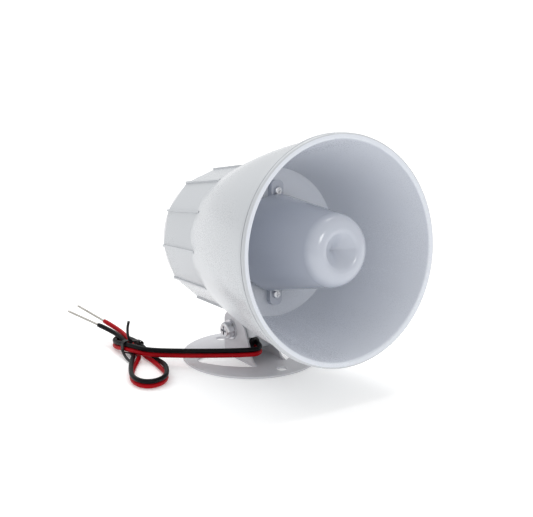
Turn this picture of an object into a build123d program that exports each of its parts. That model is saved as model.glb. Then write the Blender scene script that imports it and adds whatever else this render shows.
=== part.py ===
from build123d import *
import math
import os

# Electronic horn siren: a moulded bell with a re-entrant cup and a compression driver, held by a lug
# between the two ears of a round sheet-steel base. Millimetres. The origin is the centre of the base's
# underside, +Z is up and the mouth faces -Y. Parts of the horn are drawn on the horn's own axis, with
# their z along the axis towards the mouth, and are then laid on HORN.

# ---- driving dimensions ------------------------------------------------------------------------
# horn placement
AXIS_HEIGHT = 61.7          # height of the horn's own origin
AXIS_BACK = 1.5             # how far that origin lies in front of the base's centre
PITCH = 8.94                # upward pitch of the horn at rest, degrees

# bell and drum of the shell
DRUM_REAR_Z = -29.6         # rear end of the drum
DRUM_R = 33.9               # corner radius of the twelve-sided drum at its rear end
DRUM_GROWTH = 0.105         # growth of that radius for each millimetre forward
DRUM_SIDES = 12
DRUM_LENGTH = 43.6          # drum length, its front end buried in the bell
RIB_HEIGHT = 0.75
RIB_WIDTH = 1.1
RIB_LENGTH = 35.0
RIB_ROOT = 2.5              # how deep the ribs are rooted in the wall
CAVITY_R = 30.0             # bore of the drum
FLOOR_Z = 18.5              # front face of the floor between drum and bell
FLOOR_THICK = 4.0
FLOOR_R = 36.6              # inner radius of the bell at the floor
MOUTH_Z = 74.9              # front plane of the rim
MOUTH_R = 55.0              # outer radius of the rim
RIM_BAND = 3.2              # radial width of the rim's front band
RIM_DEPTH = 3.9             # axial depth of the rim
RIM_STEP = 1.8              # how far the rim stands out from the bell
RIM_BEAD = 1.7              # axial length of the front one of its two beads
RIM_GROOVE_WIDE = 0.5
RIM_GROOVE_DEEP = 0.6
LIP_ROUND = 1.0             # rounding of the front band's two edges
BELL_ROOT_Z = -3.0          # where the bell's outside starts, inside the drum
BELL_ROOT_R = 34.9
BELL_BULGE = 2.4            # how far the bell's outline bulges from a straight cone

# re-entrant cup
CUP_REAR_Z = 23.0
CUP_REAR_R = 23.8
CUP_NOSE_R = 17.6           # radius where the side meets the nose's round
CUP_NOSE_Z = 74.5           # front of the nose
CUP_NOSE_ROUND = 7.0
CUP_HOLLOW_R = 8.2          # where the straight sides of the nose's pointed hollow start
CUP_HOLLOW_DROP = 0.9       # how far that is behind the front of the nose
CUP_DIMPLE = 8.2            # depth of the hollow
CUP_WALL = 2.0
FOOT_COUNT = 4
FOOT_START = 83             # angle of the first foot, degrees
FOOT_CIRCLE = 25.4          # radius of the circle of the cup's screws
FOOT_REACH = 30.6
FOOT_WIDTH = 7.0
FOOT_THICK = 3.0

# throat and driver
THROAT_R = 7.0              # throat bore at the driver
THROAT_FRONT_R = 8.0        # throat bore at its front end
THROAT_WALL = 1.5
THROAT_END_Z = 54.0
THROAT_CLEARANCE = 0.3
FLANGE_R = 29.0
FLANGE_THICK = 3.0
DRIVER_GASKET = 0.8
CLAMP_THICK = 2.0
SURROUND_THICK = 0.3
SPACER_THICK = 2.0
PLATE_THICK = 3.0
PLATE_R = 27.6
MAGNET_THICK = 10.0
MAGNET_R = 23.5
MAGNET_BORE_R = 13.0
YOKE_R = 23.0
POLE_R = 9.8
GAP_R = 11.4                # bore of the top plate
COIL_R = 10.3               # inside radius of the voice coil former
COIL_WALL = 0.25
COIL_WINDING = 0.35
DOME_R = 15.0
DOME_RISE = 1.4
DOME_THICK = 0.25
ROLL_R = 19.0               # outer radius of the surround's roll
SURROUND_R = 22.0           # outside of the surround's clamped edge
DRIVER_SCREW_CIRCLE = 25.9
DRIVER_SCREW_ANGLES = (45, 165, 285)

# rear cover
COVER_R = 32.2
COVER_THICK = 2.5
COVER_GASKET = 0.8
COVER_SCREWS = 4
COVER_SCREW_CIRCLE = 26.9
COVER_BOSS_R = 3.3
COVER_BOSS_LENGTH = 13.0

# circuit board
BOARD_R = 22.4
BOARD_THICK = 1.6
BOARD_Z = -22.0             # rear face of the board
POST_CIRCLE = 18.6
POST_R = 2.4

# components, each (length, breadth, height) or a radius
CAPACITOR_R = 4.0
CAPACITOR_HIGH = 8.5
TRANSISTOR_BODY = (10.0, 6.4, 4.2)
TRANSISTOR_TAB = (10.0, 6.1, 1.3)
TRANSISTOR_PINS = (6.2, 1.2, 0.4)
SINK_SIZE = (14.0, 3.0, 8.0)
SINK_GROOVES = 4
SINK_PITCH = 3.2
CHOKE_CORE = (11.0, 5.0, 8.0)
CHOKE_WINDING = (7.0, 9.0, 5.0)
CHIP_SIZE = (9.4, 6.2, 3.3)
CHIP_LEGS = 4               # on each side
LEG_PITCH = 2.54
RESISTOR_R = 1.1
RESISTOR_LENGTH = 6.4
RESISTOR_SPAN = 9.2         # distance between its two legs
WIRE_R = 0.3

# bracket
BASE_R = 34.75
SHEET = 1.0                 # sheet thickness
EAR_OUTSIDE = 9.0           # outer face of each ear from the centre
EAR_REAR = 10.5
EAR_FRONT = 17.8
EAR_TOP = 23.0
BASE_HOLE_R = 2.75
BASE_HOLE_SPACING = 55.0
PIVOT_Y = 4.1
PIVOT_Z = 14.6

# pivot hardware
BOLT_R = 2.0
BOLT_CLEARANCE = 0.08       # radial clearance of the bolt in the lug
EAR_CLEARANCE = 0.15        # radial clearance of the bolt in the ears
BOLT_HEAD_R = 4.2
BOLT_HEAD_THICK = 2.8
BOLT_END = 15.0
WASHER_R = 5.0
WASHER_THICK = 1.0
SPRING_R = 3.7
SPRING_THICK = 1.0
NUT_ACROSS = 7.0
NUT_THICK = 3.2

# lug
LUG_GAP = 0.4               # side clearance between lug and ear
LUG_FRONT = 15.7            # front of the web under the bell
LUG_NOSE = 6.5              # front of the block round the pivot
LUG_BACK = 10.3
LUG_BOTTOM = 4.8
WEB_BOTTOM = 12.8
CHANNEL_X = -2.6            # centre of the wire channel and of the leads' outlet
CHANNEL_Y = -2.4
CHANNEL_WIDE = 6.4
CHANNEL_DEEP = 5.9
CHANNEL_LOW = 5.8
CHANNEL_ENTRY = 2.3         # how far the channel reaches into the drum's bore
LUG_BURIED = 12.2           # how far the lug's drawn block reaches into the drum

# leads
LEAD_D = 2.4                # outer diameter of one conductor
LEAD_PITCH = 2.45           # distance between the two conductors of the twin lead
STRAND_D = 1.2              # tinned end
OUTLET_Z = 8.7              # height of the middle of the twin lead at the outlet
GROMMET_THICK = 1.5
GROMMET_NECK = (6.2, 4.2)   # height and width of the hole it sits in
GROMMET_FLANGE = (7.2, 5.6)
GROMMET_GRIP = 0.8          # depth of the neck

STRAND_LENGTH = 20.0
TIE_Y = 35.4
TIE_WIDTH = 2.4
TIE_THICK = 0.4
TIE_ROOM = 0.42
TIE_TAIL_R = 0.7

RESISTORS = 2

# screws
SMALL_SHANK_R = 1.1
SMALL_HEAD_R = 2.1
SMALL_HEAD_THICK = 1.5
HOLE_CLEARANCE = 0.1

os.makedirs("parts", exist_ok=True)

HORN = Plane(
    origin=(0, -AXIS_BACK, AXIS_HEIGHT),
    x_dir=(1, 0, 0),
    z_dir=(0, -math.cos(math.radians(PITCH)), math.sin(math.radians(PITCH))),
)

# levels along the horn's axis that several parts share
FLOOR_BACK = FLOOR_Z - FLOOR_THICK
FLANGE_FRONT = FLOOR_BACK - DRIVER_GASKET
CLAMP_FRONT = FLANGE_FRONT - FLANGE_THICK
SURROUND_FRONT = CLAMP_FRONT - CLAMP_THICK
SPACER_FRONT = SURROUND_FRONT - SURROUND_THICK
PLATE_FRONT = SPACER_FRONT - SPACER_THICK
MAGNET_FRONT = PLATE_FRONT - PLATE_THICK
YOKE_FRONT = MAGNET_FRONT - MAGNET_THICK
YOKE_BACK = YOKE_FRONT - PLATE_THICK
BOARD_FRONT = BOARD_Z + BOARD_THICK
COVER_FRONT = DRUM_REAR_Z - COVER_GASKET
RIM_IN_R = MOUTH_R - RIM_BAND
LUG_HALF = EAR_OUTSIDE - SHEET - LUG_GAP
THROAT_OUT_R = THROAT_FRONT_R + THROAT_WALL
CHANNEL_TOP = AXIS_HEIGHT - CAVITY_R + CHANNEL_ENTRY
LUG_TOP = AXIS_HEIGHT - DRUM_R + LUG_BURIED
QUARTER = 1 - math.sqrt(0.5)    # offset of the middle of a quarter arc from its corner, as a share


def save(name, shape):
    """Write one sub-part, which is a single solid, to parts/NAME.step."""
    solids = shape.solids()
    if len(solids) != 1:
        raise ValueError(f"{name} has {len(solids)} solids")
    export_step(solids[0], f"parts/{name}.step")


def turned(*points):
    """A solid of revolution about z from (radius, z) corners."""
    face = make_face(Polyline(*[(r, 0, z) for r, z in points], close=True))
    return revolve(face, Axis.Z)


def ring(outer, inner, low, high):
    """A flat ring from z = low to z = high."""
    return Pos(0, 0, low) * extrude(Circle(outer) - Circle(inner), high - low)


def rod(radius, low, high):
    """A cylinder from z = low to z = high."""
    return Pos(0, 0, low) * extrude(Circle(radius), high - low)


def around(radius, angle):
    """A place on a circle about the horn's axis."""
    return Rot(0, 0, angle) * Pos(radius, 0, 0)


def pan_screw(head_r, head_thick, shank_r, length):
    """A pan-head screw with a cross recess, head up, seated at z = 0."""
    head = rod(head_r, 0, head_thick)
    head = fillet(head.edges().group_by(Axis.Z)[-1], head_thick * 0.45)
    slot = Box(head_r * 1.1, head_r * 0.28, head_thick)
    recess = Pos(0, 0, head_thick) * (slot + Rot(0, 0, 90) * slot)
    shank = rod(shank_r, -length, 0)
    shank = chamfer(shank.edges().group_by(Axis.Z)[0], shank_r * 0.4)
    return head - recess + shank


# ---- shell -------------------------------------------------------------------------------------
def bell_outside():
    """The outer body of the bell, solid, with its two-bead rim."""
    neck_r = MOUTH_R - RIM_STEP
    neck_z = MOUTH_Z - RIM_DEPTH - RIM_STEP / 2
    middle_r = (BELL_ROOT_R + neck_r) / 2 + BELL_BULGE
    middle_z = (BELL_ROOT_Z + neck_z) / 2
    groove_r = MOUTH_R - RIM_GROOVE_DEEP
    groove_front = MOUTH_Z - RIM_BEAD
    groove_back = groove_front - RIM_GROOVE_WIDE
    flank = ThreePointArc((BELL_ROOT_R, 0, BELL_ROOT_Z), (middle_r, 0, middle_z), (neck_r, 0, neck_z))
    rim = Polyline(
        (neck_r, 0, neck_z),
        (MOUTH_R, 0, MOUTH_Z - RIM_DEPTH),
        (MOUTH_R, 0, groove_back),
        (groove_r, 0, groove_back),
        (groove_r, 0, groove_front),
        (MOUTH_R, 0, groove_front),
        (MOUTH_R, 0, MOUTH_Z - LIP_ROUND),
    )
    lip = ThreePointArc(
        (MOUTH_R, 0, MOUTH_Z - LIP_ROUND),
        (MOUTH_R - LIP_ROUND * QUARTER, 0, MOUTH_Z - LIP_ROUND * QUARTER),
        (MOUTH_R - LIP_ROUND, 0, MOUTH_Z),
    )
    rest = Polyline(
        (MOUTH_R - LIP_ROUND, 0, MOUTH_Z),
        (0, 0, MOUTH_Z),
        (0, 0, BELL_ROOT_Z),
        (BELL_ROOT_R, 0, BELL_ROOT_Z),
    )
    return revolve(make_face([flank, rim, lip, rest]), Axis.Z)


def bell_inside():
    """The bell's hollow, from the floor to the rounded inner edge of the rim."""
    lip = ThreePointArc(
        (RIM_IN_R, 0, MOUTH_Z - LIP_ROUND),
        (RIM_IN_R + LIP_ROUND * QUARTER, 0, MOUTH_Z - LIP_ROUND * QUARTER),
        (RIM_IN_R + LIP_ROUND, 0, MOUTH_Z),
    )
    rest = Polyline(
        (RIM_IN_R + LIP_ROUND, 0, MOUTH_Z),
        (RIM_IN_R + LIP_ROUND, 0, MOUTH_Z + 1),
        (0, 0, MOUTH_Z + 1),
        (0, 0, FLOOR_Z),
        (FLOOR_R, 0, FLOOR_Z),
        (RIM_IN_R, 0, MOUTH_Z - LIP_ROUND),
    )
    return revolve(make_face([lip, rest]), Axis.Z)


def drum_outside():
    """The tapered twelve-sided drum with a thin rib along each corner, solid."""
    side = math.degrees(math.atan(DRUM_GROWTH * math.cos(math.pi / DRUM_SIDES)))
    drum = Pos(0, 0, DRUM_REAR_Z) * extrude(RegularPolygon(DRUM_R, DRUM_SIDES), DRUM_LENGTH, taper=-side)
    tip = DRUM_R + RIB_HEIGHT
    outline = Polyline(
        (DRUM_R - RIB_ROOT, 0, DRUM_REAR_Z),
        (tip, 0, DRUM_REAR_Z),
        (tip + DRUM_GROWTH * RIB_LENGTH, 0, DRUM_REAR_Z + RIB_LENGTH),
        (DRUM_R - RIB_ROOT, 0, DRUM_REAR_Z + RIB_LENGTH),
        close=True,
    )
    rib = extrude(make_face(outline), RIB_WIDTH / 2, both=True)
    for i in range(DRUM_SIDES):
        drum += Rot(0, 0, i * 360 / DRUM_SIDES) * rib
    return drum


def lug_block():
    """The lug between the ears, drawn in the row's own frame, with room for wires and bolt."""
    outline = make_face(
        Polyline(
            (0, -LUG_FRONT, LUG_TOP),
            (0, -LUG_FRONT, WEB_BOTTOM + 3.4),
            (0, -LUG_FRONT + 2.2, WEB_BOTTOM + 2.0),
            (0, -LUG_NOSE - 1.5, WEB_BOTTOM),
            (0, -LUG_NOSE, WEB_BOTTOM - 0.2),
            (0, -LUG_NOSE, LUG_BOTTOM + 1.2),
            (0, -LUG_NOSE + 1.2, LUG_BOTTOM),
            (0, LUG_BACK - 5.0, LUG_BOTTOM),
            (0, LUG_BACK - 1.5, LUG_BOTTOM + 1.5),
            (0, LUG_BACK, LUG_BOTTOM + 5.0),
            (0, LUG_BACK, LUG_TOP),
            close=True,
        )
    )
    return extrude(outline, LUG_HALF, both=True)


def outlet_slot(size, back, front):
    """An upright slot-shaped bar along Y at the leads' outlet, size = (height, width)."""
    face = Plane(origin=(CHANNEL_X, back, OUTLET_Z), x_dir=(1, 0, 0), z_dir=(0, -1, 0)) * SlotOverall(
        size[0], size[1], rotation=90
    )
    return extrude(face, back - front)


def pivot_bore(radius):
    """A cylinder on the pivot axis, longer than anything on it."""
    return Pos(0, PIVOT_Y, PIVOT_Z) * Rot(0, 90, 0) * Cylinder(radius, 40)


def make_shell():
    """Drum, bell, floor, cover bosses and lug, moulded in one."""
    shell = drum_outside() + bell_outside()
    shell = HORN * shell + lug_block()
    hollow = bell_inside()
    cavity = rod(CAVITY_R, DRUM_REAR_Z - 1, FLOOR_BACK)
    boss = rod(COVER_BOSS_R, DRUM_REAR_Z, DRUM_REAR_Z + COVER_BOSS_LENGTH)
    for i in range(COVER_SCREWS):
        cavity -= around(COVER_SCREW_CIRCLE, 45 + i * 360 / COVER_SCREWS) * boss
    hole = rod(SMALL_SHANK_R + HOLE_CLEARANCE, DRUM_REAR_Z - 1, DRUM_REAR_Z + COVER_BOSS_LENGTH - 2)
    for i in range(COVER_SCREWS):
        cavity += around(COVER_SCREW_CIRCLE, 45 + i * 360 / COVER_SCREWS) * hole
    cavity += rod(THROAT_OUT_R + THROAT_CLEARANCE, FLOOR_BACK - 1, FLOOR_Z + 1)
    foot_hole = rod(SMALL_SHANK_R + HOLE_CLEARANCE, FLOOR_Z - 3.2, FLOOR_Z + 1)
    for i in range(FOOT_COUNT):
        hollow += around(FOOT_CIRCLE, FOOT_START + i * 360 / FOOT_COUNT) * foot_hole
    screw_hole = rod(SMALL_SHANK_R + HOLE_CLEARANCE, FLOOR_BACK - 1, FLOOR_BACK + 3.0)
    for angle in DRIVER_SCREW_ANGLES:
        cavity += around(DRIVER_SCREW_CIRCLE, angle) * screw_hole
    shell -= HORN * (hollow + cavity)
    channel = Pos(CHANNEL_X, CHANNEL_Y, CHANNEL_TOP) * Box(
        CHANNEL_WIDE, CHANNEL_DEEP, CHANNEL_TOP - CHANNEL_LOW, align=(Align.CENTER, Align.CENTER, Align.MAX)
    )
    shell -= channel
    shell -= outlet_slot(GROMMET_NECK, CHANNEL_Y, -LUG_NOSE - 1)
    shell -= pivot_bore(BOLT_R + BOLT_CLEARANCE)
    return shell


# ---- re-entrant cup ----------------------------------------------------------------------------
def make_cup():
    """The tapered cup whose dimpled nose faces out of the mouth, with its four feet."""
    shoulder_z = CUP_NOSE_Z - CUP_NOSE_ROUND
    crest_r = CUP_NOSE_R - CUP_NOSE_ROUND
    apex_z = CUP_NOSE_Z - CUP_DIMPLE
    hollow = (CUP_HOLLOW_R, 0, CUP_NOSE_Z - CUP_HOLLOW_DROP)
    outline = make_face(
        [
            Polyline((0, 0, apex_z), (0, 0, CUP_REAR_Z), (CUP_REAR_R, 0, CUP_REAR_Z)),
            Line((CUP_REAR_R, 0, CUP_REAR_Z), (CUP_NOSE_R, 0, shoulder_z)),
            ThreePointArc(
                (CUP_NOSE_R, 0, shoulder_z),
                (CUP_NOSE_R - CUP_NOSE_ROUND * QUARTER, 0, CUP_NOSE_Z - CUP_NOSE_ROUND * QUARTER),
                (crest_r, 0, CUP_NOSE_Z),
            ),
            Spline((crest_r, 0, CUP_NOSE_Z), hollow, tangents=((-1, 0, 0), (-hollow[0], 0, apex_z - hollow[2]))),
            Line(hollow, (0, 0, apex_z)),
        ]
    )
    cup = revolve(outline, Axis.Z)
    foot_height = CUP_REAR_Z + 3.0 - FLOOR_Z
    leg_in = CUP_REAR_R - 4.0
    foot = Pos(leg_in, 0, FLOOR_Z) * Box(
        FOOT_REACH - leg_in, FOOT_WIDTH, FOOT_THICK, align=(Align.MIN, Align.CENTER, Align.MIN)
    )
    foot = fillet(foot.edges().filter_by(Axis.Z).group_by(Axis.X)[-1], FOOT_WIDTH * 0.4)
    leg = Pos(leg_in, 0, FLOOR_Z) * Box(
        CUP_REAR_R - 0.6 - leg_in, FOOT_WIDTH, foot_height, align=(Align.MIN, Align.CENTER, Align.MIN)
    )
    for i in range(FOOT_COUNT):
        cup += Rot(0, 0, FOOT_START + i * 360 / FOOT_COUNT) * (foot + leg)
    inside = turned(
        (0, FLOOR_Z - 1),
        (CUP_REAR_R - CUP_WALL, FLOOR_Z - 1),
        (CUP_REAR_R - CUP_WALL, CUP_REAR_Z),
        (CUP_NOSE_R - CUP_WALL, shoulder_z - 1),
        (crest_r + 1, CUP_NOSE_Z - CUP_WALL - 1.5),
        (0, apex_z - CUP_WALL - 1),
    )
    cup -= inside
    hole = rod(SMALL_SHANK_R + HOLE_CLEARANCE, FLOOR_Z - 1, FLOOR_Z + FOOT_THICK + 1)
    for i in range(FOOT_COUNT):
        cup -= around(FOOT_CIRCLE, FOOT_START + i * 360 / FOOT_COUNT) * hole
    return HORN * cup


def make_foot_screw(index):
    """One of the screws that hold the cup's feet to the floor."""
    screw = pan_screw(SMALL_HEAD_R, SMALL_HEAD_THICK, SMALL_SHANK_R, FOOT_THICK + 2.8)
    place = around(FOOT_CIRCLE, FOOT_START + index * 360 / FOOT_COUNT) * Pos(0, 0, FLOOR_Z + FOOT_THICK)
    return HORN * (place * screw)


# ---- driver ------------------------------------------------------------------------------------
def drilled(plate):
    """The plate with the clearance holes of the driver's screws."""
    hole = rod(SMALL_SHANK_R + HOLE_CLEARANCE, YOKE_BACK, FLOOR_BACK)
    for angle in DRIVER_SCREW_ANGLES:
        plate -= around(DRIVER_SCREW_CIRCLE, angle) * hole
    return HORN * plate


def make_throat():
    """Front flange of the driver, and the throat tube that reaches into the cup."""
    return drilled(
        turned(
            (THROAT_R, CLAMP_FRONT),
            (FLANGE_R, CLAMP_FRONT),
            (FLANGE_R, FLANGE_FRONT),
            (THROAT_OUT_R, FLANGE_FRONT),
            (THROAT_OUT_R, THROAT_END_Z),
            (THROAT_FRONT_R, THROAT_END_Z),
        )
    )


def make_diaphragm():
    """Shallow dome with a flat edge."""
    low = SPACER_FRONT
    radius = (DOME_R**2 + DOME_RISE**2) / (2 * DOME_RISE)
    centre = low + DOME_THICK + DOME_RISE - radius
    outside = Pos(0, 0, centre) * Sphere(radius)
    inside = Pos(0, 0, centre) * Sphere(radius - DOME_THICK)
    shell = (outside - inside) & rod(DOME_R - 0.05, low + DOME_THICK * 0.5, low + 10)
    edge = ring(DOME_R, COIL_R, low, low + DOME_THICK)
    return HORN * (shell + edge)


def make_surround():
    """Half-roll between the dome and the clamped edge."""
    low = SPACER_FRONT
    middle = (DOME_R + ROLL_R) / 2
    rise = (ROLL_R - DOME_R) / 2 * 0.75
    high = low + SURROUND_THICK
    outer = ThreePointArc((DOME_R, 0, high), (middle, 0, low + rise), (ROLL_R, 0, high))
    inner = ThreePointArc((ROLL_R, 0, low), (middle, 0, low + rise - SURROUND_THICK), (DOME_R, 0, low))
    sides = [
        Line((ROLL_R, 0, high), (SURROUND_R, 0, high)),
        Line((SURROUND_R, 0, high), (SURROUND_R, 0, low)),
        Line((SURROUND_R, 0, low), (ROLL_R, 0, low)),
        Line((DOME_R, 0, low), (DOME_R, 0, high)),
    ]
    return HORN * revolve(make_face([outer, inner] + sides), Axis.Z)


def make_coil():
    """Voice coil: a thin former under the dome with the winding in the magnetic gap."""
    top = SPACER_FRONT
    winding_low = MAGNET_FRONT + 0.4
    winding_high = PLATE_FRONT - 0.4
    wall = COIL_R + COIL_WALL
    return HORN * turned(
        (COIL_R, MAGNET_FRONT),
        (wall, MAGNET_FRONT),
        (wall, winding_low),
        (wall + COIL_WINDING, winding_low),
        (wall + COIL_WINDING, winding_high),
        (wall, winding_high),
        (wall, top),
        (COIL_R, top),
    )


def make_yoke():
    """Back plate and pole piece in one."""
    return HORN * (rod(YOKE_R, YOKE_BACK, YOKE_FRONT) + rod(POLE_R, YOKE_FRONT - 1, PLATE_FRONT - 0.2))


def make_driver_screw(angle):
    """One of the long screws that hold the driver to the floor from behind."""
    length = FLOOR_BACK + 2.5 - MAGNET_FRONT
    screw = pan_screw(SMALL_HEAD_R - 0.1, SMALL_HEAD_THICK, SMALL_SHANK_R, length)
    return HORN * (around(DRIVER_SCREW_CIRCLE, angle) * Pos(0, 0, MAGNET_FRONT) * Rot(180, 0, 0) * screw)


# ---- rear cover and circuit board --------------------------------------------------------------
def cover_places():
    """The places of the cover's screws on the horn's axis frame."""
    return [around(COVER_SCREW_CIRCLE, 45 + i * 360 / COVER_SCREWS) for i in range(COVER_SCREWS)]


def make_cover():
    """Rear cover with a raised stiffening ring."""
    back = COVER_FRONT - COVER_THICK
    cover = rod(COVER_R, back, COVER_FRONT)
    cover = fillet(cover.edges().group_by(Axis.Z)[0], 1.0)
    cover += ring(20.0, 18.0, back - 0.8, back)
    for place in cover_places():
        cover -= place * rod(SMALL_SHANK_R + HOLE_CLEARANCE, back - 1, COVER_FRONT + 1)
    return HORN * cover


def make_cover_gasket():
    """Rubber gasket with a lobe round each screw."""
    gasket = ring(COVER_R - 0.6, CAVITY_R - 0.6, COVER_FRONT, DRUM_REAR_Z)
    for place in cover_places():
        lobe = place * rod(COVER_BOSS_R - 0.1, COVER_FRONT, DRUM_REAR_Z)
        gasket += lobe
    for place in cover_places():
        gasket -= place * rod(SMALL_SHANK_R + HOLE_CLEARANCE, COVER_FRONT - 1, DRUM_REAR_Z + 1)
    return HORN * gasket


def make_cover_screw(place):
    """One of the screws through the cover into the shell's bosses."""
    screw = pan_screw(SMALL_HEAD_R, SMALL_HEAD_THICK, SMALL_SHANK_R, COVER_THICK + 9.0)
    return HORN * (place * Pos(0, 0, COVER_FRONT - COVER_THICK) * Rot(180, 0, 0) * screw)


def post_place(index):
    """The place of one of the board's three posts."""
    return around(POST_CIRCLE, 90 + index * 120)


def make_board():
    """Round circuit board."""
    board = rod(BOARD_R, BOARD_Z, BOARD_FRONT)
    for i in range(3):
        board -= post_place(i) * rod(SMALL_SHANK_R + HOLE_CLEARANCE, BOARD_Z - 1, BOARD_FRONT + 1)
    return HORN * board


def make_post(index):
    """Post between the driver's back plate and the board, tapped for the board's screw."""
    hole = rod(SMALL_SHANK_R + HOLE_CLEARANCE, BOARD_FRONT - 1, BOARD_FRONT + 5)
    post = rod(POST_R, BOARD_FRONT, YOKE_BACK) - hole
    return HORN * (post_place(index) * post)


def make_board_screw(index):
    """Screw through the board into its post."""
    screw = pan_screw(SMALL_HEAD_R, SMALL_HEAD_THICK, SMALL_SHANK_R, BOARD_THICK + 4.0)
    return HORN * (post_place(index) * Pos(0, 0, BOARD_Z) * Rot(180, 0, 0) * screw)


def on_board(x, y, shape, behind=False):
    """A component at x, y, standing on the board's front face or hanging from its rear face."""
    flip = Rot(180, 0, 0) if behind else Rot(0, 0, 0)
    return HORN * (Pos(x, y, BOARD_Z if behind else BOARD_FRONT) * flip * shape)


def block(size):
    """A box of the given size that stands on z = 0."""
    return Box(*size, align=(Align.CENTER, Align.CENTER, Align.MIN))


def make_capacitor():
    """Electrolytic capacitor can with a rolled groove."""
    can = rod(CAPACITOR_R, 0, CAPACITOR_HIGH)
    can -= Pos(0, 0, 1.6) * Torus(CAPACITOR_R + 0.3, 0.6)
    return fillet(can.edges().group_by(Axis.Z)[-1], 0.5)


def make_transistor():
    """Power transistor lying flat: moulded body, metal tab with its hole, and pins."""
    lift = TRANSISTOR_PINS[2] - 0.1
    body = Pos(0, TRANSISTOR_BODY[1] / 2, lift) * block(TRANSISTOR_BODY)
    tab = Pos(0, 0.1 - TRANSISTOR_TAB[1] / 2, lift) * (block(TRANSISTOR_TAB) - rod(1.8, -1, 3))
    pins = Pos(0, TRANSISTOR_BODY[1] / 2, 0) * block(TRANSISTOR_PINS)
    return body + tab + pins


def make_heat_sink():
    """Finned heat sink."""
    sink = block(SINK_SIZE)
    groove = block((SINK_PITCH - 1.4, SINK_SIZE[1] * 0.8, SINK_SIZE[2] + 1))
    for i in range(SINK_GROOVES):
        sink -= Pos((i - (SINK_GROOVES - 1) / 2) * SINK_PITCH, -0.8, 0) * groove
    return sink


def make_choke():
    """Output choke: an E-core with its winding."""
    winding = Pos(0, 0, 1.5) * block(CHOKE_WINDING)
    return block(CHOKE_CORE) + fillet(winding.edges().filter_by(Axis.X), 2.0)


def make_chip():
    """Sound chip with its two rows of legs."""
    chip = Pos(0, 0, 0.7) * block(CHIP_SIZE)
    for i in range(CHIP_LEGS):
        chip += Pos((i - (CHIP_LEGS - 1) / 2) * LEG_PITCH, 0, 0) * block((0.6, CHIP_SIZE[1] + 2, 1.8))
    return chip


def make_resistor():
    """Axial resistor, its wires bent down to the board."""
    height = RESISTOR_R + 0.2
    body = Pos(0, 0, height) * Rot(0, 90, 0) * Cylinder(RESISTOR_R, RESISTOR_LENGTH)
    wire = Pos(0, 0, height) * Rot(0, 90, 0) * Cylinder(WIRE_R, RESISTOR_SPAN + 0.4)
    leg = rod(WIRE_R, 0, height + 0.2)
    return body + wire + Pos(-RESISTOR_SPAN / 2, 0, 0) * leg + Pos(RESISTOR_SPAN / 2, 0, 0) * leg


# ---- bracket -----------------------------------------------------------------------------------
def make_bracket():
    """Round base with two ears bent up from it, two windows and two fixing holes."""
    base = extrude(Circle(BASE_R), SHEET)
    bend = EAR_OUTSIDE + 0.2
    window = make_face(
        [
            ThreePointArc((-bend, -EAR_FRONT - 0.6), (-19.6, -9.9), (-27.4, 1.0)),
            ThreePointArc((-27.4, 1.0), (-28.2, 5.4), (-25.6, 9.0)),
            ThreePointArc((-25.6, 9.0), (-18.0, 11.0), (-bend, EAR_REAR + 0.6)),
            Line((-bend, EAR_REAR + 0.6), (-bend, -EAR_FRONT - 0.6)),
        ]
    )
    cut = extrude(window, SHEET * 3, both=True)
    base -= cut
    base -= mirror(cut, Plane.YZ)
    for side in (-1, 1):
        base -= Pos(0, side * BASE_HOLE_SPACING / 2, 0) * rod(BASE_HOLE_R, -1, SHEET + 1)
    outline = make_face(
        [
            Line((0, -EAR_FRONT, SHEET / 2), (0, -EAR_FRONT, SHEET + 0.4)),
            ThreePointArc((0, -EAR_FRONT, SHEET + 0.4), (0, -14.4, 3.0), (0, -13.0, 7.0)),
            Line((0, -13.0, 7.0), (0, -8.8, 14.4)),
            ThreePointArc((0, -8.8, 14.4), (0, -4.6, 20.4), (0, 2.2, EAR_TOP)),
            Line((0, 2.2, EAR_TOP), (0, EAR_REAR - 4.5, EAR_TOP)),
            ThreePointArc(
                (0, EAR_REAR - 4.5, EAR_TOP), (0, EAR_REAR - 1.3, EAR_TOP - 1.3), (0, EAR_REAR, EAR_TOP - 4.5)
            ),
            Line((0, EAR_REAR, EAR_TOP - 4.5), (0, EAR_REAR, SHEET / 2)),
            Line((0, EAR_REAR, SHEET / 2), (0, -EAR_FRONT, SHEET / 2)),
        ]
    )
    ear = Pos(-EAR_OUTSIDE, 0, 0) * extrude(outline, SHEET, dir=(1, 0, 0))
    bracket = base + ear + mirror(ear, Plane.YZ)
    return bracket - pivot_bore(BOLT_R + EAR_CLEARANCE)


def on_pivot(shape, x, towards):
    """A shape drawn along z from 0, laid on the pivot axis at x and pointing to -X or +X."""
    return Pos(x, PIVOT_Y, PIVOT_Z) * Rot(0, 90 * towards, 0) * shape


def make_bolt():
    """Pan-head pivot bolt with a cross recess."""
    seat = EAR_OUTSIDE + WASHER_THICK + SPRING_THICK
    bolt = pan_screw(BOLT_HEAD_R, BOLT_HEAD_THICK, BOLT_R, seat + BOLT_END)
    return on_pivot(bolt, -seat, -1)


def make_spring_washer():
    """Split spring washer, flat when tightened."""
    washer = ring(SPRING_R, BOLT_R + EAR_CLEARANCE, 0, SPRING_THICK)
    washer -= Rot(0, 0, 70) * Pos(SPRING_R, 0, SPRING_THICK / 2) * Rot(30, 0, 0) * Box(SPRING_R * 1.4, 0.5, 4)
    return on_pivot(washer, -EAR_OUTSIDE - WASHER_THICK, -1)


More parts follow.
